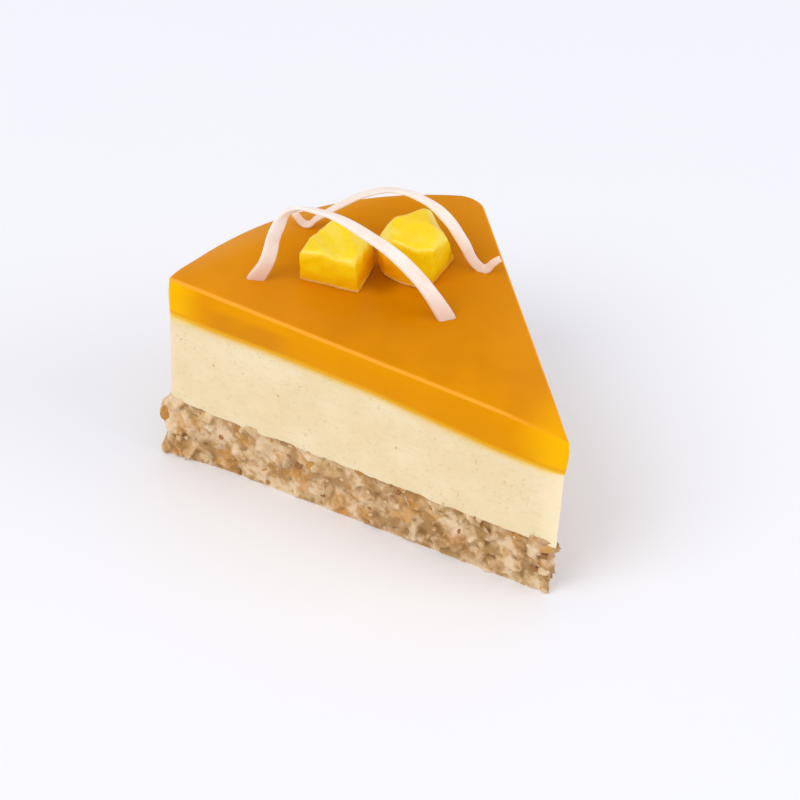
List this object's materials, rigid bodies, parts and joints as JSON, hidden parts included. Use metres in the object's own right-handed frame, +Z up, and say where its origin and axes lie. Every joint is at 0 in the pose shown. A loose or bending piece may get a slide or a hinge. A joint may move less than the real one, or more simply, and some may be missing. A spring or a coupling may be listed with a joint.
{
  "type": "cheesecake slice",
  "caption": "Wedge of mango cheesecake with a crumb base, a cream layer and a clear jelly top, garnished with mango cubes and thin white curls.",
  "frame": {"origin": "middle of the slice's footprint, level with the flat underside of the base", "axes": "+Y runs from the tip of the wedge to the middle of its rim, along the line that halves the tip's angle; +Z is up; +X is the side of the shorter cut face"},
  "size_m": [0.0856, 0.1034, 0.0769],
  "materials": {
    "crumb": "pressed oat and nut crumble, matt, pale brown with darker pits and golden bits",
    "cream": "set cheesecake cream, soft satin, pale yellow, with fine pores and knife marks",
    "jelly": "clear mango jelly, glossy, amber orange",
    "mango": "ripe mango flesh, moist satin, bright yellow",
    "curl": "smooth ivory white, satin"
  },
  "bodies": {
    "root": {"base": "crumb", "cream": "cream", "jelly": "jelly", "mango_left": "mango", "mango_right": "mango", "curl_front": "curl", "curl_back": "curl"}
  },
  "joints": []
}
